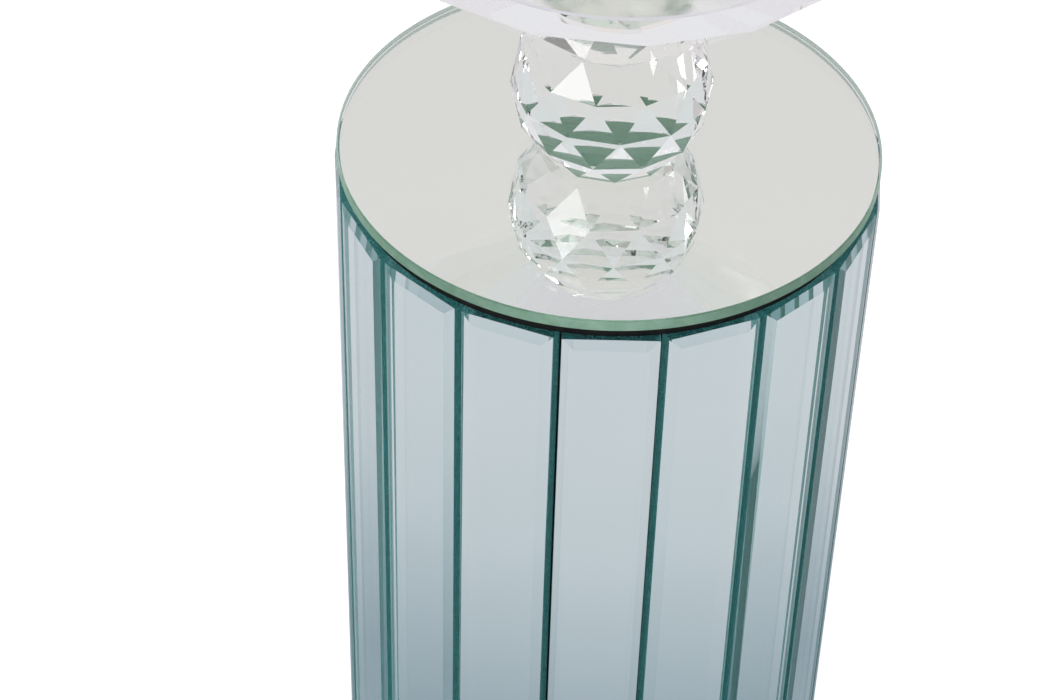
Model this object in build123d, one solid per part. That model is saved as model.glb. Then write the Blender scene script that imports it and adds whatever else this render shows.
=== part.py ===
from build123d import *
import math
import os

# Mirrored pillar candle holder: a column clad in bevelled mirror strips, a round mirror
# on top of it, and a crystal ball that carries a wide faceted crystal candle dish.
# Origin: centre of the felt base. +Z up, -Y is the front, millimetres and degrees.

# Column
column_height = 232.4        # table to the top of the core and of the mirror strips
strip_count = 17
strip_width = 18.8
strip_thickness = 4.0
strip_face_apothem = 55.3    # column axis to the outer face of a strip
bevel_width = 2.4            # measured along the face
bevel_depth = 0.6
core_diameter = 100.0
core_wall = 5.0
plate_thickness = 9.0        # end plates of the core, outside the tube
plug_length = 8.0            # part of an end plate inside the tube
adhesive_width = 12.0
adhesive_end_gap = 6.0       # adhesive stops this far short of a strip's ends
felt_diameter = 94.0
felt_thickness = 2.0

# Round top mirror
disc_diameter = 110.0
disc_thickness = 2.7
disc_arris = 0.3             # small chamfer on both rims of the glass
pad_diameter = 107.2         # covers the core and the inner part of the strips' top ends
pad_thickness = 2.4

# Crystal ball, cut flat above and below
ball_radius = 20.3           # centre to a corner between facets
ball_corners = 12            # corners in each row
ball_rows = (-45.0, -22.5, 0.0, 22.5, 45.0)
ball_turn = 3.65             # a front corner's angle from -Y

# Crystal dish
dish_corners = 16
dish_turn = 3.96
dish_rim_radius = 51.2       # axis to a rim corner
dish_rim_edge = 0.9          # height of the upright facets at the rim
dish_foot_radius = 14.0      # the foot all but covers the ball's upper flat
dish_height = 33.7
recess_diameter = 88.0
recess_depth = 1.5

# Clear adhesive film under and over the ball, left as a gap
bond_gap = 0.05

# Levels
disc_bottom = column_height + pad_thickness
disc_top = disc_bottom + disc_thickness
ball_half_height = ball_radius * math.sin(math.radians(ball_rows[-1]))
ball_centre = disc_top + bond_gap + ball_half_height
dish_bottom = ball_centre + ball_half_height + bond_gap
dish_top = dish_bottom + dish_height


def disc(diameter, low, high):
    """Upright round solid between two levels."""
    middle = (low + high) / 2
    return Pos(0, 0, middle) * Cylinder(diameter / 2, high - low)


def corner_ring(radius, height, count, turn):
    """Corners of a level regular polygon, counted anticlockwise from above."""
    step = 360 / count
    angles = [math.radians(turn + k * step) for k in range(count)]
    return [Vector(radius * math.sin(a), -radius * math.cos(a), height) for a in angles]


def facet(*corners):
    return Face(Wire.make_polygon(corners, close=True))


def closed_solid(facets):
    return Solid(Shell(facets))


def end_plate(outer_level, inward):
    """Core end plate with a plug into the tube; inward is +1 at the base and -1 at the top."""
    step_level = outer_level + inward * plate_thickness
    plug_end = step_level + inward * plug_length
    plate = disc(core_diameter, min(outer_level, step_level), max(outer_level, step_level))
    plug = disc(core_diameter - 2 * core_wall, min(step_level, plug_end), max(step_level, plug_end))
    return plate + plug


def core_tube():
    low = felt_thickness + plate_thickness
    high = column_height - plate_thickness
    return disc(core_diameter, low, high) - disc(core_diameter - 2 * core_wall, low, high)


def top_mirror():
    glass = disc(disc_diameter, disc_bottom, disc_top)
    return chamfer(glass.edges().filter_by(GeomType.CIRCLE), disc_arris)


def mirror_strip():
    """One bevelled strip at the front of the column, its outer face towards -Y."""
    outer_y = -strip_face_apothem
    bevel_y = outer_y + bevel_depth
    back_y = outer_y + strip_thickness
    height = column_height - felt_thickness
    middle = (column_height + felt_thickness) / 2
    slab_depth = back_y - bevel_y
    slab = Pos(0, bevel_y + slab_depth / 2, middle) * Box(strip_width, slab_depth, height)
    base_sketch = Plane((0, bevel_y, middle), x_dir=(1, 0, 0), z_dir=(0, -1, 0))
    face_sketch = base_sketch.offset(bevel_depth)
    outline = base_sketch * Rectangle(strip_width, height)
    inner = face_sketch * Rectangle(strip_width - 2 * bevel_width, height - 2 * bevel_width)
    return slab + loft([outline.face(), inner.face()])


def adhesive_strip():
    """Adhesive behind one strip: flat on the glass, hollowed to the round core."""
    back_y = -strip_face_apothem + strip_thickness
    core_radius = core_diameter / 2
    edge_y = -math.sqrt(core_radius**2 - (adhesive_width / 2)**2)
    low = felt_thickness + adhesive_end_gap
    high = column_height - adhesive_end_gap
    depth = edge_y - back_y
    block = Pos(0, back_y + depth / 2, (low + high) / 2) * Box(adhesive_width, depth, high - low)
    return block - disc(core_diameter, low, high)


def around_column(piece, index):
    return Rot(0, 0, index * 360 / strip_count) * piece


def crystal_ball():
    rings = []
    for row, latitude in enumerate(ball_rows):
        angle = math.radians(latitude)
        turn = ball_turn + (row % 2) * 180 / ball_corners
        level = ball_centre + ball_radius * math.sin(angle)
        rings.append(corner_ring(ball_radius * math.cos(angle), level, ball_corners, turn))
    facets = [facet(*reversed(rings[0])), facet(*rings[-1])]
    for row, (low, high) in enumerate(zip(rings, rings[1:])):
        shift = row % 2
        for k in range(ball_corners):
            after = (k + 1) % ball_corners
            facets.append(facet(low[k], low[after], high[(k + shift) % ball_corners]))
            facets.append(facet(high[k], low[(k + 1 - shift) % ball_corners], high[after]))
    return closed_solid(facets)


def crystal_dish():
    levels = [
        (dish_foot_radius, dish_bottom),
        (dish_rim_radius, dish_top - dish_rim_edge),
        (dish_rim_radius, dish_top),
    ]
    rings = [corner_ring(radius, level, dish_corners, dish_turn) for radius, level in levels]
    facets = [facet(*reversed(rings[0])), facet(*rings[-1])]
    for low, high in zip(rings, rings[1:]):
        for k in range(dish_corners):
            after = (k + 1) % dish_corners
            facets.append(facet(low[k], low[after], high[after], high[k]))
    body = closed_solid(facets)
    return body - disc(recess_diameter, dish_top - recess_depth, dish_top + 1)


def build_pieces():
    pieces = {
        "base_felt": disc(felt_diameter, 0, felt_thickness),
        "core_base_plate": end_plate(felt_thickness, 1),
        "core_tube": core_tube(),
        "core_top_plate": end_plate(column_height, -1),
        "top_mirror_pad": disc(pad_diameter, column_height, disc_bottom),
        "top_mirror": top_mirror(),
        "crystal_ball": crystal_ball(),
        "crystal_dish": crystal_dish(),
    }
    strip = mirror_strip()
    adhesive = adhesive_strip()
    for index in range(strip_count):
        pieces[f"mirror_strip_{index + 1:02d}"] = around_column(strip, index)
    adhesives = [around_column(adhesive, index) for index in range(strip_count)]
    pieces["strip_adhesive"] = Compound(children=adhesives)
    return pieces


os.makedirs("parts", exist_ok=True)
for name, piece in build_pieces().items():
    export_step(piece, f"parts/{name}.step")
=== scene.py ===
import math

import bmesh
import bpy
from mathutils import Euler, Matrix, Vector


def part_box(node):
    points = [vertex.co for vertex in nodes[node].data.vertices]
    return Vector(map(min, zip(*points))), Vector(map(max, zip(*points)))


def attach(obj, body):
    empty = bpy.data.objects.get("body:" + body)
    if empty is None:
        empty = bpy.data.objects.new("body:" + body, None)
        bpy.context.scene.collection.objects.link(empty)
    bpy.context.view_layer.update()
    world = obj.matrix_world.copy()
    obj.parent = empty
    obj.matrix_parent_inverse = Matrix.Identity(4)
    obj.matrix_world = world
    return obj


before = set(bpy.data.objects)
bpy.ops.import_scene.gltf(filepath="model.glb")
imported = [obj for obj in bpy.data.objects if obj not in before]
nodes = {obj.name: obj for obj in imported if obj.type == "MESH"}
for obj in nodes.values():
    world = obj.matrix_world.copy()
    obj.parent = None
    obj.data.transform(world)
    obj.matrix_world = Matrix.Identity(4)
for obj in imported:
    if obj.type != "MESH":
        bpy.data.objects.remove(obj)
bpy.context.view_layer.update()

# Looks for the mirrored pillar candle holder: clear float glass over silver, cut crystal,
# a pale floor and soft studio light. Metres; +Z up and -Y the front, as in the frame.

MM = 0.001
STRIPS = sorted(name for name in nodes if name.startswith("mirror_strip_"))

# Levels and sizes read from the frame
strip_low, strip_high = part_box(STRIPS[0])
disc_low, disc_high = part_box("top_mirror")
ball_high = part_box("crystal_ball")[1]
dish_low, dish_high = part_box("crystal_dish")
DISC_RADIUS = disc_high.x
STRIP_BACK = -strip_high.y          # column axis to the silvered face of a strip
STRIP_HALF_WIDTH = strip_high.x

# Glass and silver
GLASS_IOR = 1.52
DISC_TINT = (0.38, 0.64, 0.52, 1)
STRIP_TINT = (0.31, 0.69, 0.69, 1)
DISC_DENSITY = 30                    # per metre
STRIP_DENSITY = 45
SILVER_DEPTH = 0.03 * MM             # the silver lies this far inside the glass solid's back
SILVER_THICKNESS = 0.02 * MM
RIM_INSET = 0.6 * MM                 # the silver stops this far inside the round mirror's rim
STRIP_INSET = 0.1 * MM               # and this far inside a strip's edges

# Clear adhesive, and the recess in the top of the dish
BOND_RADIUS = 13.8 * MM              # the adhesive under the ball reaches this far out
FOOT_RADIUS = 11.2 * MM              # and the adhesive under the dish this far
BOND_REACH = 0.2 * MM                # levels this close to a bond count as wetted
BALL_BONDS = [(disc_high.z, BOND_RADIUS), (dish_low.z, FOOT_RADIUS)]
RECESS_DEPTH = 1.5 * MM
RECESS_RADIUS = 44 * MM

# Floor. Camera rays meet a pale diffuse surface with a glow. Every other kind of ray, and so the
# mirrors, meets these glowing tones instead: painted shade, darkest close to the base, each at a
# distance in metres from the base's centre.
FLOOR_RADIUS = 6.0
FLOOR_COLOUR = (0.75, 0.75, 0.75, 1)
FLOOR_GLOW = 0.6
FLOOR_REFLECTED_PAINTED_SHADE = [
    (0.13, (0.38, 0.43, 0.49)),
    (0.17, (0.55, 0.57, 0.63)),
    (0.21, (0.71, 0.70, 0.75)),
    (0.26, (0.77, 0.74, 0.79)),
    (0.9, (0.80, 0.80, 0.83)),
]

# World light: its colour by how high a direction points, from level or lower (0) to straight
# up (1), and its strength from the front (0) to the back (1)
WORLD_COLOURS = [
    (0.0, (0.80, 0.81, 0.84)),
    (0.35, (0.80, 0.81, 0.84)),
    (0.5, (0.82, 0.78, 0.785)),
    (0.8, (0.82, 0.78, 0.785)),
    (1.0, (0.95, 0.95, 0.95)),
]
WORLD_STRENGTHS = [(0.0, 0.6), (0.35, 0.75), (0.6, 1.0)]

# Softbox
SOFTBOX_DIRECTION = (-0.664, -0.683, 0.306)
SOFTBOX_DISTANCE = 1.6
SOFTBOX_WIDTH = 0.7
SOFTBOX_HEIGHT = 0.7
SOFTBOX_POWER = 10

# Camera, fitted to the photograph's view; its turn is in degrees and its lens in millimetres
CAMERA_PLACE = (-19.76 * MM, -460.67 * MM, 607.77 * MM)
CAMERA_TURN = (47.005, -1.151, 0.584)
CAMERA_LENS = 100.2
CAMERA_SENSOR = 36


def add(tree, kind, inputs=None, **settings):
    """A new shader node. An input is a constant, or a socket that gets linked to it."""
    made = tree.nodes.new(kind)
    for key, value in settings.items():
        setattr(made, key, value)
    for key, value in (inputs or {}).items():
        if isinstance(value, bpy.types.NodeSocket):
            tree.links.new(value, made.inputs[key])
        else:
            made.inputs[key].default_value = value
    return made


def maths(tree, operation, first, second=None):
    inputs = {0: first} if second is None else {0: first, 1: second}
    return add(tree, "ShaderNodeMath", inputs, operation=operation).outputs[0]


def ramp(tree, factor, stops):
    """A colour ramp with a colour, or a grey level, at each position."""
    made = add(tree, "ShaderNodeValToRGB", {"Fac": factor})
    elements = made.color_ramp.elements
    while len(elements) < len(stops):
        elements.new(0.5)
    for element, (position, value) in zip(elements, stops):
        element.position = position
        element.color = (value, value, value, 1) if isinstance(value, (int, float)) else (*value, 1)
    return made.outputs["Color"]


def noise(tree, scale, detail=4, distortion=0.0):
    """Noise in the frame's own metres; scale is in features per metre."""
    place = add(tree, "ShaderNodeTexCoord").outputs["Object"]
    inputs = {"Vector": place, "Scale": scale, "Detail": detail, "Distortion": distortion}
    return add(tree, "ShaderNodeTexNoise", inputs).outputs["Fac"]


def new_material(name):
    made = bpy.data.materials.new(name)
    made.use_nodes = True
    made.node_tree.nodes.clear()
    output = add(made.node_tree, "ShaderNodeOutputMaterial")
    return made, made.node_tree, output


def smudges(tree, scale, strength):
    """Roughness of polished glass: clear, with a few faint handling marks."""
    marks = noise(tree, scale, detail=5, distortion=1.5)
    return ramp(tree, marks, [(0.0, 0.0), (0.62, 0.0), (0.8, strength)])


def clear_glass(tree, roughness, tint=(1, 1, 1, 1)):
    inputs = {
        "Base Color": tint,
        "Transmission Weight": 1.0,
        "IOR": GLASS_IOR,
        "Roughness": roughness,
    }
    return add(tree, "ShaderNodeBsdfPrincipled", inputs).outputs[0]


def round_patches(tree, patches):
    """1 on level faces inside any of the patches, which are (level, radius) about the axis."""
    geometry = add(tree, "ShaderNodeNewGeometry")
    place = add(tree, "ShaderNodeSeparateXYZ", {0: geometry.outputs["Position"]})
    facing = add(tree, "ShaderNodeSeparateXYZ", {0: geometry.outputs["True Normal"]})
    across = maths(tree, "MULTIPLY", place.outputs["X"], place.outputs["X"])
    along = maths(tree, "MULTIPLY", place.outputs["Y"], place.outputs["Y"])
    distance = maths(tree, "SQRT", maths(tree, "ADD", across, along))
    level_face = maths(tree, "GREATER_THAN", maths(tree, "ABSOLUTE", facing.outputs["Z"]), 0.99)
    total = None
    for level, radius in patches:
        inside = maths(tree, "LESS_THAN", distance, radius)
        offset = maths(tree, "ABSOLUTE", maths(tree, "SUBTRACT", place.outputs["Z"], level))
        near = maths(tree, "LESS_THAN", offset, BOND_REACH)
        here = maths(tree, "MULTIPLY", inside, near)
        total = here if total is None else maths(tree, "MAXIMUM", total, here)
    return maths(tree, "MULTIPLY", total, level_face)


def through_bonds(tree, shader, bonds):
    """The glass shader, but see-through where adhesive makes one optical body of two pieces."""
    clear = add(tree, "ShaderNodeBsdfTransparent").outputs[0]
    mix = add(tree, "ShaderNodeMixShader", {0: round_patches(tree, bonds), 1: shader, 2: clear})
    return mix.outputs[0]


def facing_out(tree):
    """How squarely a face looks away from, or at, the column's axis: 0 to 1."""
    geometry = add(tree, "ShaderNodeNewGeometry")
    inputs = {0: geometry.outputs["Position"], 1: (1, 1, 0)}
    level = add(tree, "ShaderNodeVectorMath", inputs, operation="MULTIPLY").outputs[0]
    out = add(tree, "ShaderNodeVectorMath", {0: level}, operation="NORMALIZE").outputs[0]
    inputs = {0: geometry.outputs["True Normal"], 1: out}
    dot = add(tree, "ShaderNodeVectorMath", inputs, operation="DOT_PRODUCT").outputs["Value"]
    return maths(tree, "ABSOLUTE", dot)


def frosted(tree, colour, roughness, dull, onward):
    """Rough glass of which the share dull scatters light, and the share onward of that goes on."""
    rough_glass = clear_glass(tree, roughness)
    back = add(tree, "ShaderNodeBsdfDiffuse", {"Color": colour}).outputs[0]
    through = add(tree, "ShaderNodeBsdfTranslucent", {"Color": colour}).outputs[0]
    scatter = add(tree, "ShaderNodeMixShader", {0: onward, 1: back, 2: through}).outputs[0]
    return add(tree, "ShaderNodeMixShader", {0: dull, 1: rough_glass, 2: scatter}).outputs[0]


def ground_edge_painted_light_and_shade(tree, dark, light, scale, inner_painted_light, onward):
    """An edge of float glass in a shaded and a lit copy: from outside in the given grain colours,
    which for the strips are dark as painted shade; from inside in a pale colour, painted light
    standing in for light that comes in through the edge.
    """
    grain = noise(tree, scale, detail=6, distortion=0.5)
    colour = ramp(tree, grain, [(0.35, dark), (0.65, light)])
    outside = frosted(tree, colour, roughness=0.2, dull=0.6, onward=0.5)
    inside = frosted(tree, inner_painted_light, roughness=0.3, dull=0.95, onward=onward)
    backs = add(tree, "ShaderNodeNewGeometry").outputs["Backfacing"]
    return add(tree, "ShaderNodeMixShader", {0: backs, 1: outside, 2: inside}).outputs[0]


def finish_float(material, tree, output, shader, tint, density):
    """Gives float glass its surface and its tinted body, and returns the material."""
    body = add(tree, "ShaderNodeVolumeAbsorption", {"Color": tint, "Density": density})
    tree.links.new(shader, output.inputs["Surface"])
    tree.links.new(body.outputs[0], output.inputs["Volume"])
    return material


def strip_glass():
    material, tree, output = new_material("strip_glass")
    polished = clear_glass(tree, smudges(tree, scale=90, strength=0.02))
    # Its edges: a near-black teal grain from outside, painted shade of the joints between strips
    # and of the strip tops under the round mirror; a pale colour from inside, painted light.
    cut = ground_edge_painted_light_and_shade(
        tree,
        dark=(0.02, 0.13, 0.135),
        light=(0.10, 0.36, 0.36),
        scale=3500,
        inner_painted_light=(0.50, 1.0, 0.98, 1),
        onward=0.2,
    )
    on_edge = maths(tree, "LESS_THAN", facing_out(tree), 0.5)
    shader = add(tree, "ShaderNodeMixShader", {0: on_edge, 1: polished, 2: cut}).outputs[0]
    return finish_float(material, tree, output, shader, STRIP_TINT, STRIP_DENSITY)


def disc_glass():
    material, tree, output = new_material("disc_glass")
    polished = clear_glass(tree, smudges(tree, scale=90, strength=0.02))
    top = through_bonds(tree, polished, [(disc_high.z, BOND_RADIUS)])
    # The rim: a green grain from outside; from inside a pale colour, painted light coming in
    # through the ground edge.
    rim = ground_edge_painted_light_and_shade(
        tree,
        dark=(0.34, 0.66, 0.46),
        light=(0.46, 0.78, 0.58),
        scale=300,
        inner_painted_light=(0.82, 0.93, 0.86, 1),
        onward=0.5,
    )
    on_rim = maths(tree, "GREATER_THAN", facing_out(tree), 0.5)
    shader = add(tree, "ShaderNodeMixShader", {0: on_rim, 1: top, 2: rim}).outputs[0]
    return finish_float(material, tree, output, shader, DISC_TINT, DISC_DENSITY)


def crystal_ball():
    material, tree, output = new_material("ball_crystal")
    shader = clear_glass(tree, smudges(tree, scale=120, strength=0.015))
    tree.links.new(through_bonds(tree, shader, BALL_BONDS), output.inputs["Surface"])
    return material


def crystal_dish():
    """Polished outside; the floor of the candle recess is left silky by its grinding."""
    material, tree, output = new_material("dish_crystal")
    polished = clear_glass(tree, smudges(tree, scale=120, strength=0.015))
    joined = through_bonds(tree, polished, BALL_BONDS)
    grain = ramp(tree, noise(tree, scale=500, detail=6), [(0.35, 0.14), (0.65, 0.20)])
    silky = clear_glass(tree, grain, (0.93, 0.94, 0.88, 1))
    recess = round_patches(tree, [(dish_high.z - RECESS_DEPTH, RECESS_RADIUS)])
    mix = add(tree, "ShaderNodeMixShader", {0: recess, 1: joined, 2: silky})
    tree.links.new(mix.outputs[0], output.inputs["Surface"])
    return material


def silver():
    material, tree, output = new_material("silver")
    shades = [(0.3, (0.93, 0.93, 0.92)), (0.7, (0.95, 0.95, 0.94))]
    tint = ramp(tree, noise(tree, scale=25, detail=3), shades)
    inputs = {"Base Color": tint, "Metallic": 1.0, "Roughness": 0.0}
    shader = add(tree, "ShaderNodeBsdfPrincipled", inputs)
    tree.links.new(shader.outputs[0], output.inputs["Surface"])
    return material


def matt(name, dark, light, scale, roughness, bump, distance):
    """A dull surface with a fine grain in its colour and its relief."""
    material, tree, output = new_material(name)
    grain = noise(tree, scale, detail=8)
    colour = ramp(tree, grain, [(0.3, dark), (0.7, light)])
    relief = add(tree, "ShaderNodeBump", {"Height": grain, "Strength": bump, "Distance": distance})
    inputs = {
        "Base Color": colour,
        "Roughness": roughness,
        "Specular IOR Level": 0.2,
        "Normal": relief.outputs[0],
    }
    shader = add(tree, "ShaderNodeBsdfPrincipled", inputs)
    tree.links.new(shader.outputs[0], output.inputs["Surface"])
    return material


def give(node, material):
    for slot in nodes[node].material_slots:
        slot.material = material


def closed_mesh(name, material, outlines):
    """One piece made of thin closed slabs; each outline is a loop of corners and a depth vector."""
    bm = bmesh.new()
    for corners, depth in outlines:
        front = [bm.verts.new(corner) for corner in corners]
        back = [bm.verts.new(corner + depth) for corner in corners]
        bm.faces.new(front)
        bm.faces.new(reversed(back))
        for k in range(len(front)):
            after = (k + 1) % len(front)
            bm.faces.new((front[after], front[k], back[k], back[after]))
    bmesh.ops.recalc_face_normals(bm, faces=bm.faces)
    mesh = bpy.data.meshes.new(name)
    bm.to_mesh(mesh)
    bm.free()
    mesh.materials.append(material)
    piece = bpy.data.objects.new(name, mesh)
    bpy.context.scene.collection.objects.link(piece)
    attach(piece, "root")
    return piece


def strip_silvering(material):
    """The silver behind every strip, just inside the glass so that no air lies between them."""
    half = STRIP_HALF_WIDTH - STRIP_INSET
    bottom = strip_low.z + STRIP_INSET
    top = strip_high.z - STRIP_INSET
    outlines = []
    for index in range(len(STRIPS)):
        angle = 2 * math.pi * index / len(STRIPS)
        out = Vector((math.sin(angle), -math.cos(angle), 0))
        along = Vector((math.cos(angle), math.sin(angle), 0))
        face = out * (STRIP_BACK + SILVER_DEPTH)
        corners = [
            face + along * side * half + Vector((0, 0, level))
            for side, level in ((-1, bottom), (1, bottom), (1, top), (-1, top))
        ]
        outlines.append((corners, -out * SILVER_THICKNESS))
    return closed_mesh("strip_silvering", material, outlines)


def disc_silvering(material):
    """The silver under the round mirror's glass."""
    level = disc_low.z + SILVER_DEPTH
    radius = DISC_RADIUS - RIM_INSET
    count = 192
    corners = [
        Vector((radius * math.sin(a), -radius * math.cos(a), level))
        for a in (2 * math.pi * k / count for k in range(count))
    ]
    outlines = [(corners, Vector((0, 0, -SILVER_THICKNESS)))]
    return closed_mesh("disc_silvering", material, outlines)


def floor():
    """A wide pale floor. The mirrors see glowing tones instead, painted shade that is darker and
    bluer most of all close to the base.
    """
    material, tree, output = new_material("pale_floor")
    place = add(tree, "ShaderNodeNewGeometry").outputs["Position"]
    distance = add(tree, "ShaderNodeVectorMath", {0: place}, operation="LENGTH").outputs["Value"]
    painted_shade_tone = ramp(tree, distance, FLOOR_REFLECTED_PAINTED_SHADE)
    reflected = add(tree, "ShaderNodeEmission", {"Color": painted_shade_tone, "Strength": 1.0})
    diffuse = add(tree, "ShaderNodeBsdfDiffuse", {"Color": FLOOR_COLOUR})
    glow = add(tree, "ShaderNodeEmission", {"Color": (1, 1, 1, 1), "Strength": FLOOR_GLOW})
    seen = add(tree, "ShaderNodeAddShader", {0: diffuse.outputs[0], 1: glow.outputs[0]})
    camera_ray = add(tree, "ShaderNodeLightPath").outputs["Is Camera Ray"]
    inputs = {0: camera_ray, 1: reflected.outputs[0], 2: seen.outputs[0]}
    mix = add(tree, "ShaderNodeMixShader", inputs)
    tree.links.new(mix.outputs[0], output.inputs["Surface"])
    bpy.ops.mesh.primitive_circle_add(vertices=64, radius=FLOOR_RADIUS, fill_type="NGON")
    plane = bpy.context.object
    plane.name = "floor"
    plane.data.materials.append(material)


def studio():
    """Soft light from all round, dimmer on the camera's side, and one softbox at the front left."""
    world = bpy.data.worlds.new("studio")
    bpy.context.scene.world = world
    world.use_nodes = True
    tree = world.node_tree
    background = tree.nodes["Background"]
    direction = add(tree, "ShaderNodeTexCoord").outputs["Generated"]
    parts = add(tree, "ShaderNodeSeparateXYZ", {0: direction}).outputs
    tree.links.new(ramp(tree, parts["Z"], WORLD_COLOURS), background.inputs["Color"])
    inputs = {0: parts["Y"], 1: 0.5, 2: 0.5}
    depth = add(tree, "ShaderNodeMath", inputs, operation="MULTIPLY_ADD").outputs[0]
    side = ramp(tree, depth, WORLD_STRENGTHS)
    tree.links.new(side, background.inputs["Strength"])
    softbox = bpy.data.lights.new("softbox", "AREA")
    softbox.shape = "RECTANGLE"
    softbox.size = SOFTBOX_WIDTH
    softbox.size_y = SOFTBOX_HEIGHT
    softbox.energy = SOFTBOX_POWER
    lamp = bpy.data.objects.new("softbox", softbox)
    towards = Vector(SOFTBOX_DIRECTION).normalized()
    lamp.location = Vector((0, 0, ball_high.z)) + towards * SOFTBOX_DISTANCE
    lamp.rotation_euler = towards.to_track_quat("Z", "Y").to_euler()
    bpy.context.scene.collection.objects.link(lamp)


def camera():
    data = bpy.data.cameras.new("camera")
    data.sensor_width = CAMERA_SENSOR
    data.lens = CAMERA_LENS
    data.clip_start = 0.01
    data.clip_end = 100
    made = bpy.data.objects.new("camera", data)
    made.location = CAMERA_PLACE
    made.rotation_euler = Euler([math.radians(turn) for turn in CAMERA_TURN])
    bpy.context.scene.collection.objects.link(made)
    bpy.context.scene.camera = made


silver_coat = silver()
clear_strip = strip_glass()
for strip in STRIPS:
    give(strip, clear_strip)
give("top_mirror", disc_glass())
give("crystal_ball", crystal_ball())
give("crystal_dish", crystal_dish())
board = matt(
    "black_board",
    dark=(0.006, 0.006, 0.006),
    light=(0.014, 0.014, 0.014),
    scale=900,
    roughness=0.75,
    bump=0.3,
    distance=0.2 * MM,
)
for node in ("core_base_plate", "core_tube", "core_top_plate"):
    give(node, board)
rubber = matt(
    "black_adhesive",
    dark=(0.003, 0.003, 0.004),
    light=(0.01, 0.01, 0.01),
    scale=400,
    roughness=0.6,
    bump=0.5,
    distance=0.3 * MM,
)
give("top_mirror_pad", rubber)
give("strip_adhesive", rubber)
felt = matt(
    "felt",
    dark=(0.008, 0.008, 0.008),
    light=(0.03, 0.03, 0.03),
    scale=2500,
    roughness=0.95,
    bump=1.0,
    distance=0.4 * MM,
)
give("base_felt", felt)
strip_silvering(silver_coat)
disc_silvering(silver_coat)

floor()
studio()
camera()

scene = bpy.context.scene
scene.view_settings.view_transform = "Standard"
scene.cycles.max_bounces = 24
scene.cycles.transmission_bounces = 24
scene.cycles.glossy_bounces = 16
scene.cycles.transparent_max_bounces = 16
